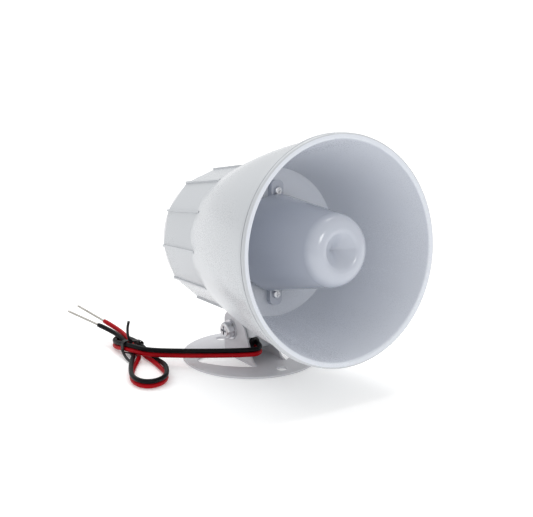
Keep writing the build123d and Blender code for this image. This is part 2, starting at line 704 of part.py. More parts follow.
def make_nut():
    """Hexagon nut with chamfered corners."""
    nut = extrude(RegularPolygon(NUT_ACROSS / 2, 6, major_radius=False), NUT_THICK)
    nut &= turned(
        (0, 0),
        (NUT_ACROSS * 0.53, 0),
        (NUT_ACROSS * 0.58, NUT_ACROSS * 0.04),
        (NUT_ACROSS * 0.58, NUT_THICK - NUT_ACROSS * 0.04),
        (NUT_ACROSS * 0.53, NUT_THICK),
        (0, NUT_THICK),
    )
    nut -= rod(BOLT_R, -1, NUT_THICK + 1)
    return on_pivot(nut, EAR_OUTSIDE + WASHER_THICK, 1)


# ---- leads -------------------------------------------------------------------------------------
def lead_path(points):
    """Straight runs joined by arcs as large as their runs allow; prints the smallest radius."""
    vectors = [Vector(*p) for p in points]
    radii = []
    for before, corner, after in zip(vectors, vectors[1:], vectors[2:]):
        turn = math.radians((corner - before).get_angle(after - corner))
        shorter = min((corner - before).length, (after - corner).length)
        radii.append(0.45 * shorter / math.tan(turn / 2))
    print("radii", [round(r, 1) for r in radii])
    return FilletPolyline(*vectors, radius=radii)


def tube(points, diameter):
    """A round tube along a route of arcs and runs."""
    path = lead_path(points)
    start = Plane(origin=path @ 0, z_dir=path % 0)
    solid = sweep(start * Circle(diameter / 2), path=path)
    ideal = path.length * math.pi * diameter**2 / 4
    print("length", round(path.length, 1), "volume ratio", round(solid.volume / ideal, 4))
    return solid


OUTLET_FACE = -LUG_NOSE - GROMMET_THICK
UPPER = OUTLET_Z + LEAD_PITCH / 2
LOWER = OUTLET_Z - LEAD_PITCH / 2

BLACK_ROUTE = (
    (CHANNEL_X, OUTLET_FACE, UPPER),
    (CHANNEL_X, -11.4, UPPER),
    (-6.2, -17.7, 10.2),
    (-11.1, -17.9, 10.1),
    (-23.9, -5.2, 8.5),
    (-36.8, 7.8, 7.3),
    (-49.0, 20.4, 6.5),
    (-52.0, 29.4, 6.65),
    (-53.2, 36.6, 6.1),
    (-53.3, 43.4, 4.6),
    (-51.7, 49.2, 3.9),
    (-47.9, 52.6, 3.75),
    (-43.9, 50.0, 3.75),
    (-43.2, 43.2, 4.0),
    (-45.0, 34.4, 4.75),
    (-45.3, 26.0, 3.4),
    (-44.6, 18.5, 1.3),
    (-46.6, 9.6, 2.6),
    (-49.5, 1.6, 3.9),
    (-52.8, -4.8, 3.75),
    (-57.2, -10.4, 3.75),
    (-63.2, -13.0, 3.75),
    (-68.4, -11.9, 3.75),
    (-70.9, -7.1, 3.75),
    (-70.3, -0.4, 3.75),
    (-66.4, 7.2, 3.75),
    (-61.4, 15.3, 3.7),
    (-56.2, 22.5, 3.2),
    (-51.9, 28.9, 1.4),
    (-50.3, 35.0, 2.2),
    (-49.9, 42.2, 5.8),
    (-49.8, 52.6, 7.2),
    (-53.6, 62.1, 9.1),
)
RED_ROUTE = (
    (CHANNEL_X, OUTLET_FACE, LOWER),
    (CHANNEL_X, -11.4, LOWER),
    (-6.2, -17.7, 7.75),
    (-11.1, -17.9, 7.65),
    (-23.9, -5.2, 6.05),
    (-36.8, 7.8, 4.8),
    (-49.0, 20.4, 4.0),
    (-52.0, 29.4, 4.2),
    (-53.2, 36.6, 3.6),
    (-53.3, 43.4, 2.1),
    (-51.7, 49.2, 1.4),
    (-47.9, 52.6, 1.25),
    (-43.9, 50.0, 1.25),
    (-43.2, 43.2, 1.5),
    (-45.1, 34.4, 2.25),
    (-47.2, 26.0, 1.4),
    (-47.4, 18.4, 1.25),
    (-48.9, 9.4, 1.25),
    (-50.6, 0.6, 1.25),
    (-53.6, -5.6, 1.25),
    (-57.8, -10.4, 1.25),
    (-63.4, -12.7, 1.25),
    (-68.2, -11.6, 1.25),
    (-70.6, -7.0, 1.25),
    (-70.1, -0.6, 1.25),
    (-66.2, 6.8, 1.25),
    (-60.4, 14.6, 1.25),
    (-54.6, 21.2, 1.25),
    (-49.7, 27.0, 1.25),
    (-47.9, 34.4, 2.05),
    (-46.7, 41.6, 4.9),
    (-45.6, 53.4, 7.1),
    (-48.6, 64.7, 9.5),
)


def save_lead(colour, route):
    """The flexing stretch at the outlet, the lying stretch and the tinned end of one conductor."""
    whole = tube(route, LEAD_D)
    turn_x = (route[2][0] + route[3][0]) / 2
    cutter = Plane(origin=(turn_x, 0, 0), x_dir=(0, 1, 0), z_dir=(1, 0, 0))
    save(f"lead_{colour}_flex", split(whole, cutter, keep=Keep.TOP))
    save(f"lead_{colour}", split(whole, cutter, keep=Keep.BOTTOM))
    end = Vector(*route[-1])
    along = (end - Vector(*route[-2])).normalized()
    strand = Plane(origin=end, z_dir=along) * rod(STRAND_D / 2, 0, STRAND_LENGTH)
    save(f"strand_{colour}", strand)


def inner_lead(y, radius, height, foot_y, stand):
    """One conductor inside the horn, from the grommet up the lug's channel to the circuit board."""
    tilt = math.radians(PITCH)
    level = -(AXIS_BACK + y + radius * math.sin(tilt)) / math.cos(tilt)
    inside = (
        (CHANNEL_X, -radius, level),
        (CHANNEL_X, -radius, BOARD_FRONT + stand + 3.0),
        (CHANNEL_X, foot_y - 1.0, BOARD_FRONT + stand),
        (CHANNEL_X, foot_y, BOARD_FRONT + 0.4),
    )
    points = [(CHANNEL_X, OUTLET_FACE, height), (CHANNEL_X, y, height)]
    points += [tuple(HORN.from_local_coords(Vector(*point))) for point in inside]
    return tube(points, LEAD_D)


def make_grommet():
    """Rubber grommet in the lug's outlet, moulded round the two conductors."""
    grommet = outlet_slot((GROMMET_NECK[0] - 0.1, GROMMET_NECK[1] - 0.1), -LUG_NOSE + GROMMET_GRIP, -LUG_NOSE)
    flange = outlet_slot(GROMMET_FLANGE, -LUG_NOSE, OUTLET_FACE)
    grommet += fillet(flange.edges().group_by(Axis.Y)[0], 0.5)
    for height in (UPPER, LOWER):
        place = Plane(origin=(CHANNEL_X, 0, height), x_dir=(1, 0, 0), z_dir=(0, -1, 0))
        grommet -= place * rod(LEAD_D / 2, 0, 12)
    return grommet


def make_tie():
    """Twist tie: a flat band pulled round the bundle, its ends twisted together and splayed."""
    centres = ((-52.96, 6.15), (-52.96, 3.6), (-50.4, 2.6), (-47.8, 2.5), (-44.9, 2.1), (-44.8, 4.6))
    plane = Plane(origin=(0, TIE_Y + TIE_WIDTH / 2, 0), x_dir=(1, 0, 0), z_dir=(0, -1, 0))
    circles = Sketch() + [Pos(x, z) * Circle(LEAD_D / 2 + TIE_ROOM) for x, z in centres]
    inner = make_hull(circles.edges())
    band = extrude(plane * (offset(inner, TIE_THICK) - inner), TIE_WIDTH)
    knot = Vector(-49.6, TIE_Y, 6.3)
    twist = Spline(knot, Vector(-50.6, TIE_Y - 0.6, 9.0))
    upper = Spline(knot, Vector(-52.0, TIE_Y - 0.9, 12.2), Vector(-50.9, TIE_Y - 0.5, 18.2))
    lower_end = Vector(-56.8, TIE_Y - 11.1, 1.0)
    lower = Spline(Vector(-54.8, TIE_Y, 3.2), Vector(-55.7, TIE_Y - 3.9, 1.7), lower_end)
    tie = band
    for line, radius in ((twist, TIE_TAIL_R * 1.5), (upper, TIE_TAIL_R), (lower, TIE_TAIL_R)):
        tie += sweep(Plane(origin=line @ 0, z_dir=line % 0) * Circle(radius), path=line)
    return tie


# ---- save every piece --------------------------------------------------------------------------
save("horn_shell", make_shell())
save("reflector_cup", make_cup())
for i in range(FOOT_COUNT):
    save(f"cup_screw_{i + 1}", make_foot_screw(i))

save("throat_tube", make_throat())
save("driver_gasket", HORN * ring(FLANGE_R + 0.6, FLANGE_R - 1.6, FLANGE_FRONT, FLOOR_BACK))
save("clamp_ring", drilled(ring(PLATE_R, ROLL_R + 0.4, SURROUND_FRONT, CLAMP_FRONT)))
save("spacer_ring", drilled(ring(PLATE_R, ROLL_R + 1.0, PLATE_FRONT, SPACER_FRONT)))
save("top_plate", drilled(ring(PLATE_R, GAP_R, MAGNET_FRONT, PLATE_FRONT)))
save("magnet", HORN * ring(MAGNET_R, MAGNET_BORE_R, YOKE_FRONT, MAGNET_FRONT))
save("yoke", make_yoke())
save("diaphragm", make_diaphragm())
save("surround", make_surround())
save("voice_coil", make_coil())
for i, angle in enumerate(DRIVER_SCREW_ANGLES):
    save(f"driver_screw_{i + 1}", make_driver_screw(angle))

save("rear_cover", make_cover())
save("cover_gasket", make_cover_gasket())
for i, place in enumerate(cover_places()):
    save(f"cover_screw_{i + 1}", make_cover_screw(place))

save("circuit_board", make_board())
for i in range(3):
    save(f"board_post_{i + 1}", make_post(i))
    save(f"board_screw_{i + 1}", make_board_screw(i))
save("capacitor", on_board(-9.5, 13.3, make_capacitor()))
save("choke", on_board(0, -9.0, make_choke()))
save("heat_sink", on_board(9.5, 10.5, make_heat_sink()))
save("transistor_1", on_board(-11.0, 1.6, make_transistor()))
save("transistor_2", on_board(11.0, 1.6, make_transistor()))
save("chip", on_board(0, 3.0, make_chip(), behind=True))
for i in range(RESISTORS):
    save(f"resistor_{i + 1}", on_board(0, 9.0 - i * 18.0, make_resistor(), behind=True))

save("bracket", make_bracket())
save("pivot_bolt", make_bolt())
save("head_washer", on_pivot(ring(WASHER_R, BOLT_R + EAR_CLEARANCE, 0, WASHER_THICK), -EAR_OUTSIDE, -1))
save("spring_washer", make_spring_washer())
save("nut_washer", on_pivot(ring(WASHER_R, BOLT_R + EAR_CLEARANCE, 0, WASHER_THICK), EAR_OUTSIDE, 1))
save("pivot_nut", make_nut())

save("lead_grommet", make_grommet())
save("inner_lead_black", inner_lead(CHANNEL_Y - LEAD_PITCH / 2, 24.8, UPPER, -18.2, 5.5))
save("inner_lead_red", inner_lead(CHANNEL_Y + LEAD_PITCH / 2, 27.3, LOWER, -20.8, 3.0))
save_lead("black", BLACK_ROUTE)
save_lead("red", RED_ROUTE)
save("twist_tie", make_tie())
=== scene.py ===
"""Looks of the horn siren: finishes for its moulded, pressed and plated parts, and its pair of leads.

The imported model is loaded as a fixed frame. Its parts keep their shape and place and get their finishes
here, and the two leads and their tinned ends are built over it. Lengths are in metres, apart from the
leads' routes, which are in millimetres.
"""

from __future__ import annotations

import logging
import math
from dataclasses import dataclass
from enum import Enum
from typing import Any, Iterable, Mapping, Sequence, Union

import bmesh
import bpy
from mathutils import Matrix, Vector

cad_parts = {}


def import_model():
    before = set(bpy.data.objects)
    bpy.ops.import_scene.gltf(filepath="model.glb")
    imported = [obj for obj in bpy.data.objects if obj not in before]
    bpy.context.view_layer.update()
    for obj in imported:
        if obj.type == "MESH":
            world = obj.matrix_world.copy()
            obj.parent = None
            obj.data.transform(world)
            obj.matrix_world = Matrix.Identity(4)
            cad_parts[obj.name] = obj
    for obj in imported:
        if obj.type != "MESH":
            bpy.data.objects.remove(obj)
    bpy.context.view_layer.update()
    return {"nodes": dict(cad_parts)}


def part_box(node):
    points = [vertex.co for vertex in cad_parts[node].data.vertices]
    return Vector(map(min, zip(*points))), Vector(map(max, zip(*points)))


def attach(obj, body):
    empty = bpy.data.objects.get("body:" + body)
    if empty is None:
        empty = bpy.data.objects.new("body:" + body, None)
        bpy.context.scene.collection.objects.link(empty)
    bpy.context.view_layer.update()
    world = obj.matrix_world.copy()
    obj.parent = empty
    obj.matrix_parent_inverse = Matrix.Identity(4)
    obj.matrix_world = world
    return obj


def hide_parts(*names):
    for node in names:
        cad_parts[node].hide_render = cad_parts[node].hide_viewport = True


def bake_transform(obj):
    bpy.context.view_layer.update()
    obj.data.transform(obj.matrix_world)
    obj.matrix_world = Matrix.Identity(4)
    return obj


LOG = logging.getLogger("siren")
MM = 0.001

Colour = tuple[float, float, float]
Point = tuple[float, float, float]
Number = Union[int, float]


# ---- shader maths --------------------------------------------------------------------------------
class Wire:
    """One output socket of a material's node tree, used like a number in shader maths."""

    def __init__(self, tree: "Tree", socket: bpy.types.NodeSocket) -> None:
        """Wraps a socket of the given tree."""
        self.tree = tree
        self.socket = socket

    def __add__(self, other: "Wire | Number") -> "Wire":
        """Sum of two values."""
        return self.tree.maths("ADD", self, other)

    def __sub__(self, other: "Wire | Number") -> "Wire":
        """Difference of two values."""
        return self.tree.maths("SUBTRACT", self, other)

    def __rsub__(self, other: "Wire | Number") -> "Wire":
        """Difference with the number on the left."""
        return self.tree.maths("SUBTRACT", other, self)

    def __mul__(self, other: "Wire | Number") -> "Wire":
        """Product of two values."""
        return self.tree.maths("MULTIPLY", self, other)

    __radd__ = __add__
    __rmul__ = __mul__

    def root(self) -> "Wire":
        """Square root of the value."""
        return self.tree.maths("SQRT", self, 0.0)

    def sine(self) -> "Wire":
        """Sine of the value in radians."""
        return self.tree.maths("SINE", self, 0.0)

    def clamp(self) -> "Wire":
        """The value held between 0 and 1."""
        return self.tree.maths("MINIMUM", self.tree.maths("MAXIMUM", self, 0.0), 1.0)


class Tree:
    """A material's node tree with one Principled shader."""

    def __init__(self, name: str) -> None:
        """Makes an empty material of that name with its shader."""
        self.material = bpy.data.materials.new(name)
        self.material.use_nodes = True
        self.shader = self.material.node_tree.nodes["Principled BSDF"]

    def node(
        self,
        kind: str,
        settings: Mapping[str, Any] | None = None,
        inputs: Mapping[str | int, Any] | None = None,
    ) -> bpy.types.Node:
        """Adds a node.

        Args:
            kind: the node's type name.
            settings: the node's own properties, set first.
            inputs: values or wires for its sockets, by name or number.

        Returns:
            The new node.
        """
        node = self.material.node_tree.nodes.new(kind)
        for key, value in (settings or {}).items():
            setattr(node, key, value)
        for key, value in (inputs or {}).items():
            self.feed(node.inputs[key], value)
        return node

    def feed(self, socket: bpy.types.NodeSocket, value: Any) -> None:
        """Links a wire to a socket, or sets the socket's own value."""
        if isinstance(value, Wire):
            self.material.node_tree.links.new(value.socket, socket)
        else:
            socket.default_value = value

    def maths(self, operation: str, first: Any, second: Any) -> Wire:
        """One Math node on two values."""
        node = self.node("ShaderNodeMath", {"operation": operation}, {0: first, 1: second})
        return Wire(self, node.outputs[0])

    def place(self, scale: Sequence[float] = (1.0, 1.0, 1.0)) -> Wire:
        """The point on the object, in metres, with each axis scaled."""
        spot = Wire(self, self.node("ShaderNodeTexCoord").outputs["Object"])
        scaled = self.node("ShaderNodeVectorMath", {"operation": "MULTIPLY"}, {0: spot, 1: scale})
        return Wire(self, scaled.outputs[0])

    def axes(self, scale: Sequence[float] = (1.0, 1.0, 1.0)) -> list[Wire]:
        """The three parts of the point on the object, each axis scaled."""
        parts = self.node("ShaderNodeSeparateXYZ", None, {0: self.place(scale)})
        return [Wire(self, parts.outputs[i]) for i in range(3)]

    def noise(self, size: float, detail: float = 3.0, stretch: Sequence[float] = (1.0, 1.0, 1.0)) -> Wire:
        """Soft noise from 0 to 1.

        Args:
            size: breadth of its patches in metres.
            detail: how many finer layers it carries.
            stretch: scale of each axis before the noise.

        Returns:
            The noise's value.
        """
        inputs = {"Vector": self.place(stretch), "Scale": 1.0 / size, "Detail": detail, "Roughness": 0.55}
        return Wire(self, self.node("ShaderNodeTexNoise", None, inputs).outputs[0])

    def cells(self, size: float) -> Wire:
        """Distance from the nearest of many scattered points, as a share of their spacing."""
        inputs = {"Vector": self.place(), "Scale": 1.0 / size}
        return Wire(self, self.node("ShaderNodeTexVoronoi", None, inputs).outputs["Distance"])

    def step(self, value: Wire, low: float, high: float) -> Wire:
        """Smooth ramp from 0 at low to 1 at high."""
        node = self.node(
            "ShaderNodeMapRange",
            {"interpolation_type": "SMOOTHSTEP"},
            {"Value": value, "From Min": low, "From Max": high},
        )
        return Wire(self, node.outputs[0])

    def blend(self, share: Wire, first: Any, second: Any) -> Wire:
        """Mixes two colours by a share from 0 to 1."""
        colours = [value if isinstance(value, Wire) else (*value, 1.0) for value in (first, second)]
        node = self.node("ShaderNodeMix", {"data_type": "RGBA"}, {0: share, 6: colours[0], 7: colours[1]})
        return Wire(self, node.outputs[2])

    def relief(self, height: Wire, depth: float) -> None:
        """Feeds a height to the shader's normal as a bump of that depth in metres."""
        bump = self.node("ShaderNodeBump", None, {"Height": height, "Distance": depth, "Strength": 1.0})
        self.feed(self.shader.inputs["Normal"], Wire(self, bump.outputs[0]))

    def dress(self, **inputs: Any) -> bpy.types.Material:
        """Sets the shader's sockets, an underscore standing for a space, and returns the material."""
        for key, value in inputs.items():
            socket = self.shader.inputs[key.replace("_", " ")]
            if socket.type == "RGBA" and not isinstance(value, Wire):
                value = (*value, 1.0)
            self.feed(socket, value)
        return self.material


def shade(colour: Colour, factor: float) -> Colour:
    """The colour made lighter or darker by a factor."""
    return tuple(min(1.0, part * factor) for part in colour)


# ---- finishes ------------------------------------------------------------------------------------
@dataclass(frozen=True)
class Finish:
    """What every finish has: a name and a base colour."""

    name: str
    colour: Colour

    def make(self) -> bpy.types.Material:
        """Builds the finish's material."""
        raise NotImplementedError


@dataclass(frozen=True)
class MouldedPlastic(Finish):
    """Injection-moulded plastic: fine texture, faint flow marks and dust that has settled."""

    roughness: float = 0.32
    grain: float = 0.5 * MM
    grain_depth: float = 0.004 * MM
    dust: Colour = (0.62, 0.6, 0.57)
    dust_share: float = 0.1
    coat: float = 0.0

    def body(self, tree: Tree, flow: Wire) -> Wire:
        """The plastic's own colour, a little uneven along the flow of the mould."""
        return tree.blend(flow, shade(self.colour, 0.965), shade(self.colour, 1.02))

    def make(self) -> bpy.types.Material:
        """Builds the moulded plastic."""
        tree = Tree(self.name)
        flow = tree.noise(38 * MM, 2.0, (1.0, 0.35, 1.0))
        fine = tree.noise(self.grain, 2.0)
        specks = 1 - tree.step(tree.cells(3.2 * MM), 0.03, 0.07)
        marks = tree.step(tree.noise(0.9 * MM, 4.0, (1.0, 0.12, 1.0)), 0.68, 0.74)
        body = self.body(tree, flow)
        settled = (tree.step(tree.noise(16 * MM, 5.0), 0.52, 0.78) * 0.5 + specks * 0.6) * self.dust_share
        colour = tree.blend(settled.clamp(), body, self.dust)
        tree.relief(fine + marks * 0.6 + flow * 0.5, self.grain_depth)
        return tree.dress(
            Base_Color=colour,
            Roughness=fine * 0.06 + flow * 0.08 + marks * 0.08 + (self.roughness - 0.07),
            Coat_Weight=self.coat,
            Coat_Roughness=0.06,
            IOR=1.53,
        )


@dataclass(frozen=True)
class BellPlastic(MouldedPlastic):
    """The shell's plastic, with painted light inside the bell: a lighter, bluer colour there stands for light
    that comes through the wall.

    The inside is the space within a cone about the horn's axis that runs in the thickness of the bell's wall,
    from a little behind the bell's floor to the mouth.

    Attributes:
        inside: painted light, a lighter and bluer colour given to the inside of the bell.
        origin: a point on the horn's axis, level with the tilt pivot.
        pitch: upward slope of the axis in degrees.
        cone: the cone's radius at the origin, and its growth per metre along the axis.
        wall_edge: half the thickness over which the colour changes at the cone.
        floor_edge: distances along the axis between which the inside begins.
    """

    inside: Colour = (0.68, 0.71, 0.77)
    origin: Point = (0.0, -0.0015, 0.0617)
    pitch: float = 8.94
    cone: tuple[float, float] = (34.5 * MM, 0.263)
    wall_edge: float = 0.2 * MM
    floor_edge: tuple[float, float] = (16 * MM, 17.5 * MM)

    def body(self, tree: Tree, flow: Wire) -> Wire:
        """The plastic's colour, with painted light inside the bell, which is lighter and bluer than the
        outside.
        """
        x, y, z = tree.axes()
        back = y - self.origin[1]
        rise = z - self.origin[2]
        tilt = math.radians(self.pitch)
        along = rise * math.sin(tilt) - back * math.cos(tilt)
        across = rise * math.cos(tilt) + back * math.sin(tilt)
        radius = (x * x + across * across).root()
        wall = along * self.cone[1] + self.cone[0]
        within = tree.step(wall - radius, -self.wall_edge, self.wall_edge)
        painted_light_share = within * tree.step(along, *self.floor_edge)
        # Painted light: the inside of the bell gets a lighter, bluer colour than the outside.
        return tree.blend(painted_light_share, super().body(tree, flow), self.inside)


@dataclass(frozen=True)
class PowderCoat(Finish):
    """Baked powder paint on sheet steel: orange peel, and a few chips that show the metal."""

    roughness: float = 0.38
    steel: Colour = (0.34, 0.34, 0.35)

    def make(self) -> bpy.types.Material:
        """Builds the paint."""
        tree = Tree(self.name)
        peel = tree.noise(1.3 * MM, 2.0)
        cloud = tree.noise(20 * MM, 3.0)
        chips = (1 - tree.step(tree.cells(11 * MM), 0.02, 0.035)) * tree.step(cloud, 0.5, 0.56)
        scuffs = tree.step(tree.noise(2.2 * MM, 4.0, (1.0, 0.2, 1.0)), 0.7, 0.78)
        paint = tree.blend(cloud, shade(self.colour, 0.95), self.colour)
        scuffed = tree.blend(scuffs * 0.25, paint, (0.5, 0.5, 0.5))
        tree.relief(peel - chips * 2.0, 0.012 * MM)
        return tree.dress(
            Base_Color=tree.blend(chips, scuffed, self.steel),
            Metallic=chips * 0.8,
            Roughness=peel * 0.1 + scuffs * 0.12 + (self.roughness - 0.05),
        )


@dataclass(frozen=True)
class PlatedSteel(Finish):
    """Plated metal with fine brushing and dull patches."""

    roughness: float = 0.3
    brushing: tuple[float, float, float] = (0.06, 1.0, 1.0)
    tarnish: Colour = (0.3, 0.27, 0.22)
    tarnish_share: float = 0.35

    def make(self) -> bpy.types.Material:
        """Builds the plated metal."""
        tree = Tree(self.name)
        lines = tree.noise(0.22 * MM, 3.0, self.brushing)
        patch = tree.step(tree.noise(2.6 * MM, 4.0), 0.48, 0.75)
        bright = tree.blend(lines, shade(self.colour, 0.86), shade(self.colour, 1.08))
        tree.relief(lines, 0.006 * MM)
        return tree.dress(
            Base_Color=tree.blend(patch * self.tarnish_share, bright, self.tarnish),
            Metallic=1.0,
            Roughness=lines * 0.12 + patch * 0.2 + self.roughness,
        )


@dataclass(frozen=True)
class Elastomer(Finish):
    """Rubber or soft PVC: smooth skin, faint ripples along it and pale dust in patches."""

    roughness: float = 0.4
    dust: Colour = (0.45, 0.43, 0.4)
    dust_share: float = 0.12
    coat: float = 0.0
    shine: float = 0.3

    def make(self) -> bpy.types.Material:
        """Builds the rubber or PVC."""
        tree = Tree(self.name)
        skin = tree.noise(0.35 * MM, 3.0)
        ripple = tree.noise(3.5 * MM, 2.0)
        dusty = tree.step(tree.noise(6 * MM, 5.0), 0.5, 0.8) * self.dust_share
        body = tree.blend(ripple, shade(self.colour, 0.85), shade(self.colour, 1.12))
        tree.relief(ripple * 1.5 + skin * 0.4, 0.02 * MM)
        return tree.dress(
            Base_Color=tree.blend(dusty, body, self.dust),
            Roughness=skin * 0.1 + dusty * 0.6 + (self.roughness - 0.05),
            Coat_Weight=self.coat,
            Coat_Roughness=0.2,
            Specular_IOR_Level=self.shine,
            IOR=1.5,
        )


@dataclass(frozen=True)
class Winding(Finish):
    """Enamelled wire laid in close turns along one axis, with painted shade darkening the grooves between
    turns.
    """

    pitch: float = 0.22 * MM
    axis: tuple[float, float, float] = (0.0, 1.0, 0.0)

    def make(self) -> bpy.types.Material:
        """Builds the winding."""
        tree = Tree(self.name)
        x, y, z = tree.axes(self.axis)
        along = x + y + z
        turns = (along * (2 * math.pi / self.pitch)).sine() * 0.5 + 0.5
        tint = tree.noise(1.5 * MM, 3.0)
        tree.relief(turns, 0.06 * MM)
        # Painted shade: the colour darkens towards the grooves between turns.
        return tree.dress(
            Base_Color=tree.blend(turns * 0.7 + tint * 0.3, shade(self.colour, 0.35), self.colour),
            Metallic=turns * 0.4 + 0.5,
            Roughness=tint * 0.15 + 0.25,
        )


@dataclass(frozen=True)
class Laminate(Finish):
    """Circuit board: solder mask over copper tracks, with glass weave under it."""

    track: Colour = (0.1, 0.38, 0.2)
    track_width: float = 0.35 * MM
    track_grid: tuple[float, float] = (5 * MM, 2.4 * MM)

    def make(self) -> bpy.types.Material:
        """Builds the board's face."""
        tree = Tree(self.name)
        brick = tree.node(
            "ShaderNodeTexBrick",
            {"offset": 0.37, "squash": 1.4, "squash_frequency": 3},
            {
                "Vector": tree.place(),
                "Scale": 1.0,
                "Mortar Size": self.track_width,
                "Brick Width": self.track_grid[0],
                "Row Height": self.track_grid[1],
            },
        )
        tracks = Wire(tree, brick.outputs["Fac"])
        weave = tree.noise(0.4 * MM, 2.0)
        tree.relief(tracks + weave * 0.2, 0.03 * MM)
        return tree.dress(
            Base_Color=tree.blend(tracks * 0.8 + weave * 0.2, self.colour, self.track),
            Roughness=weave * 0.15 + 0.28,
        )


class Look(Enum):
    """The finishes of the siren, by name."""

    shell_plastic = BellPlastic(
        "siren_shell", (0.52, 0.54, 0.565), roughness=0.28, coat=0.1, grain_depth=0.0015 * MM
    )
    cup_plastic = MouldedPlastic(
        "siren_cup", (0.47, 0.5, 0.57), roughness=0.18, coat=0.6, grain_depth=0.0015 * MM
    )
    cover_plastic = MouldedPlastic("siren_cover", (0.78, 0.78, 0.8), roughness=0.5, grain_depth=0.02 * MM)
    bracket_paint = PowderCoat("siren_bracket", (0.62, 0.62, 0.65))
    zinc_steel = PlatedSteel("siren_zinc", (0.72, 0.73, 0.76), roughness=0.24)
    rubber = Elastomer("siren_rubber", (0.02, 0.02, 0.022), roughness=0.6)
    throat_plastic = MouldedPlastic("siren_throat", (0.04, 0.04, 0.045), roughness=0.45, dust_share=0.05)
    plated_steel = PlatedSteel("siren_plate", (0.6, 0.6, 0.58), roughness=0.34, brushing=(1.0, 0.1, 1.0))
    ferrite = MouldedPlastic("siren_ferrite", (0.06, 0.06, 0.065), roughness=0.55, grain_depth=0.03 * MM)
    copper = Winding("siren_copper", (0.8, 0.38, 0.17), axis=(0.0, -0.988, 0.155))
    film = Elastomer("siren_film", (0.5, 0.32, 0.1), roughness=0.35, coat=0.3)
    board = Laminate("siren_board", (0.03, 0.2, 0.09))
    epoxy = MouldedPlastic("siren_epoxy", (0.025, 0.025, 0.027), roughness=0.5, dust_share=0.05)
    capacitor_sleeve = Elastomer("siren_capacitor", (0.03, 0.05, 0.2), roughness=0.3, coat=0.5)
    choke_core = Winding("siren_choke", (0.62, 0.3, 0.14), pitch=0.5 * MM, axis=(1.0, 0.0, 0.0))
    heat_sink = PlatedSteel("siren_heat_sink", (0.75, 0.75, 0.77), roughness=0.35, tarnish_share=0.1)
    resistor_body = MouldedPlastic("siren_resistor", (0.62, 0.47, 0.3), roughness=0.3, dust_share=0.05)
    black_pvc = Elastomer("siren_black_lead", (0.004, 0.004, 0.005), roughness=0.4, dust_share=0.0, shine=0.1)
    red_pvc = Elastomer("siren_red_lead", (0.36, 0.001, 0.006), roughness=0.4, dust_share=0.0, shine=0.1)
    tinned_copper = PlatedSteel("siren_strands", (0.5, 0.48, 0.45), roughness=0.3, tarnish_share=0.3)
    tie_sleeve = Elastomer("siren_tie", (0.012, 0.012, 0.014), roughness=0.45, dust_share=0.02, shine=0.2)


class Finishes:
    """Makes each finish once and hands it out."""

    def __init__(self) -> None:
        """Starts with no finish made."""
        self.made: dict[Look, bpy.types.Material] = {}

    def get(self, look: Look) -> bpy.types.Material:
        """The material of a look, made the first time it is asked for."""
        if look not in self.made:
            self.made[look] = look.value.make()
        return self.made[look]

    def cover(self, piece: bpy.types.Object, look: Look) -> None:
        """Puts a look on every material slot of a piece, adding one if it has none."""
        if not piece.material_slots:
            piece.data.materials.append(self.get(look))
        for place in piece.material_slots:
            place.material = self.get(look)


# ---- mesh help -----------------------------------------------------------------------------------
def object_of(name: str, mesh: bpy.types.ID) -> bpy.types.Object:
    """Links a new object with the given data to the scene."""
    piece = bpy.data.objects.new(name, mesh)
    bpy.context.scene.collection.objects.link(piece)
    return piece


def curve_through(name: str, points: Sequence[Point], radius: float) -> bpy.types.Object:
    """A smooth NURBS line with the points as its control points.

    Args:
        name: the curve's name.
        points: its control points, in metres.
        radius: half its thickness, or 0 for a bare line.

    Returns:
        The curve object, not linked to the scene.
    """
    curve = bpy.data.curves.new(name, "CURVE")
    curve.dimensions = "3D"
    curve.resolution_u = 10
    curve.bevel_depth = radius
    curve.bevel_resolution = 4
    spline = curve.splines.new("NURBS")
    spline.points.add(len(points) - 1)
    for target, point in zip(spline.points, points):
        target.co = (*point, 1.0)
    spline.order_u = 3
    spline.use_endpoint_u = True
    return bpy.data.objects.new(name, curve)


def line_of(points: Sequence[Point]) -> list[Vector]:
    """The points along a route's smooth line."""
    route = curve_through("route", points, 0.0)
    mesh = bpy.data.meshes.new_from_object(route)
    line = [vertex.co.copy() for vertex in mesh.vertices]
    bpy.data.objects.remove(route)
    bpy.data.meshes.remove(mesh)
    return line


def frames_along(line: Sequence[Vector]) -> list[tuple[Vector, Vector, Vector]]:
    """A place and two cross directions at each point of a line, carried along it without twist."""
    frames = []
    across = Vector((0.0, 0.0, 1.0))
    last = len(line) - 1
    for i, point in enumerate(line):
        ahead = (line[min(i + 1, last)] - line[max(i - 1, 0)]).normalized()
        across = (across - ahead * across.dot(ahead)).normalized()
        frames.append((point, across, ahead.cross(across)))
    return frames


def tube_mesh(
    name: str, lines: Iterable[Sequence[Vector]], radius: float, sides: int, crown: float
) -> bpy.types.Object:
    """Round tubes along lines, closed at both ends, as one mesh.

    Args:
        name: the object's name.
        lines: the centre line of each tube.
        radius: the tubes' radius.
        sides: how many faces go round each tube.
        crown: share of the radius by which the ends are drawn in.

    Returns:
        The object.
    """
    work = bmesh.new()
    turns = [2 * math.pi * k / sides for k in range(sides)]
    for line in lines:
        rings = []
        frames = frames_along(line)
        for i, (centre, side, up) in enumerate(frames):
            size = radius * (1 - crown) if i in (0, len(frames) - 1) else radius
            spokes = [(side * math.cos(turn) + up * math.sin(turn)) * size for turn in turns]
            rings.append([work.verts.new(centre + spoke) for spoke in spokes])
        for low, high in zip(rings, rings[1:]):
            for k in range(sides):
                work.faces.new((low[k], low[(k + 1) % sides], high[(k + 1) % sides], high[k]))
        work.faces.new(list(reversed(rings[0])))
        work.faces.new(rings[-1])
    bmesh.ops.recalc_face_normals(work, faces=work.faces)
    mesh = bpy.data.meshes.new(name)
    work.to_mesh(mesh)
    work.free()
    for face in mesh.polygons:
        face.use_smooth = len(face.vertices) == 4
    return object_of(name, mesh)


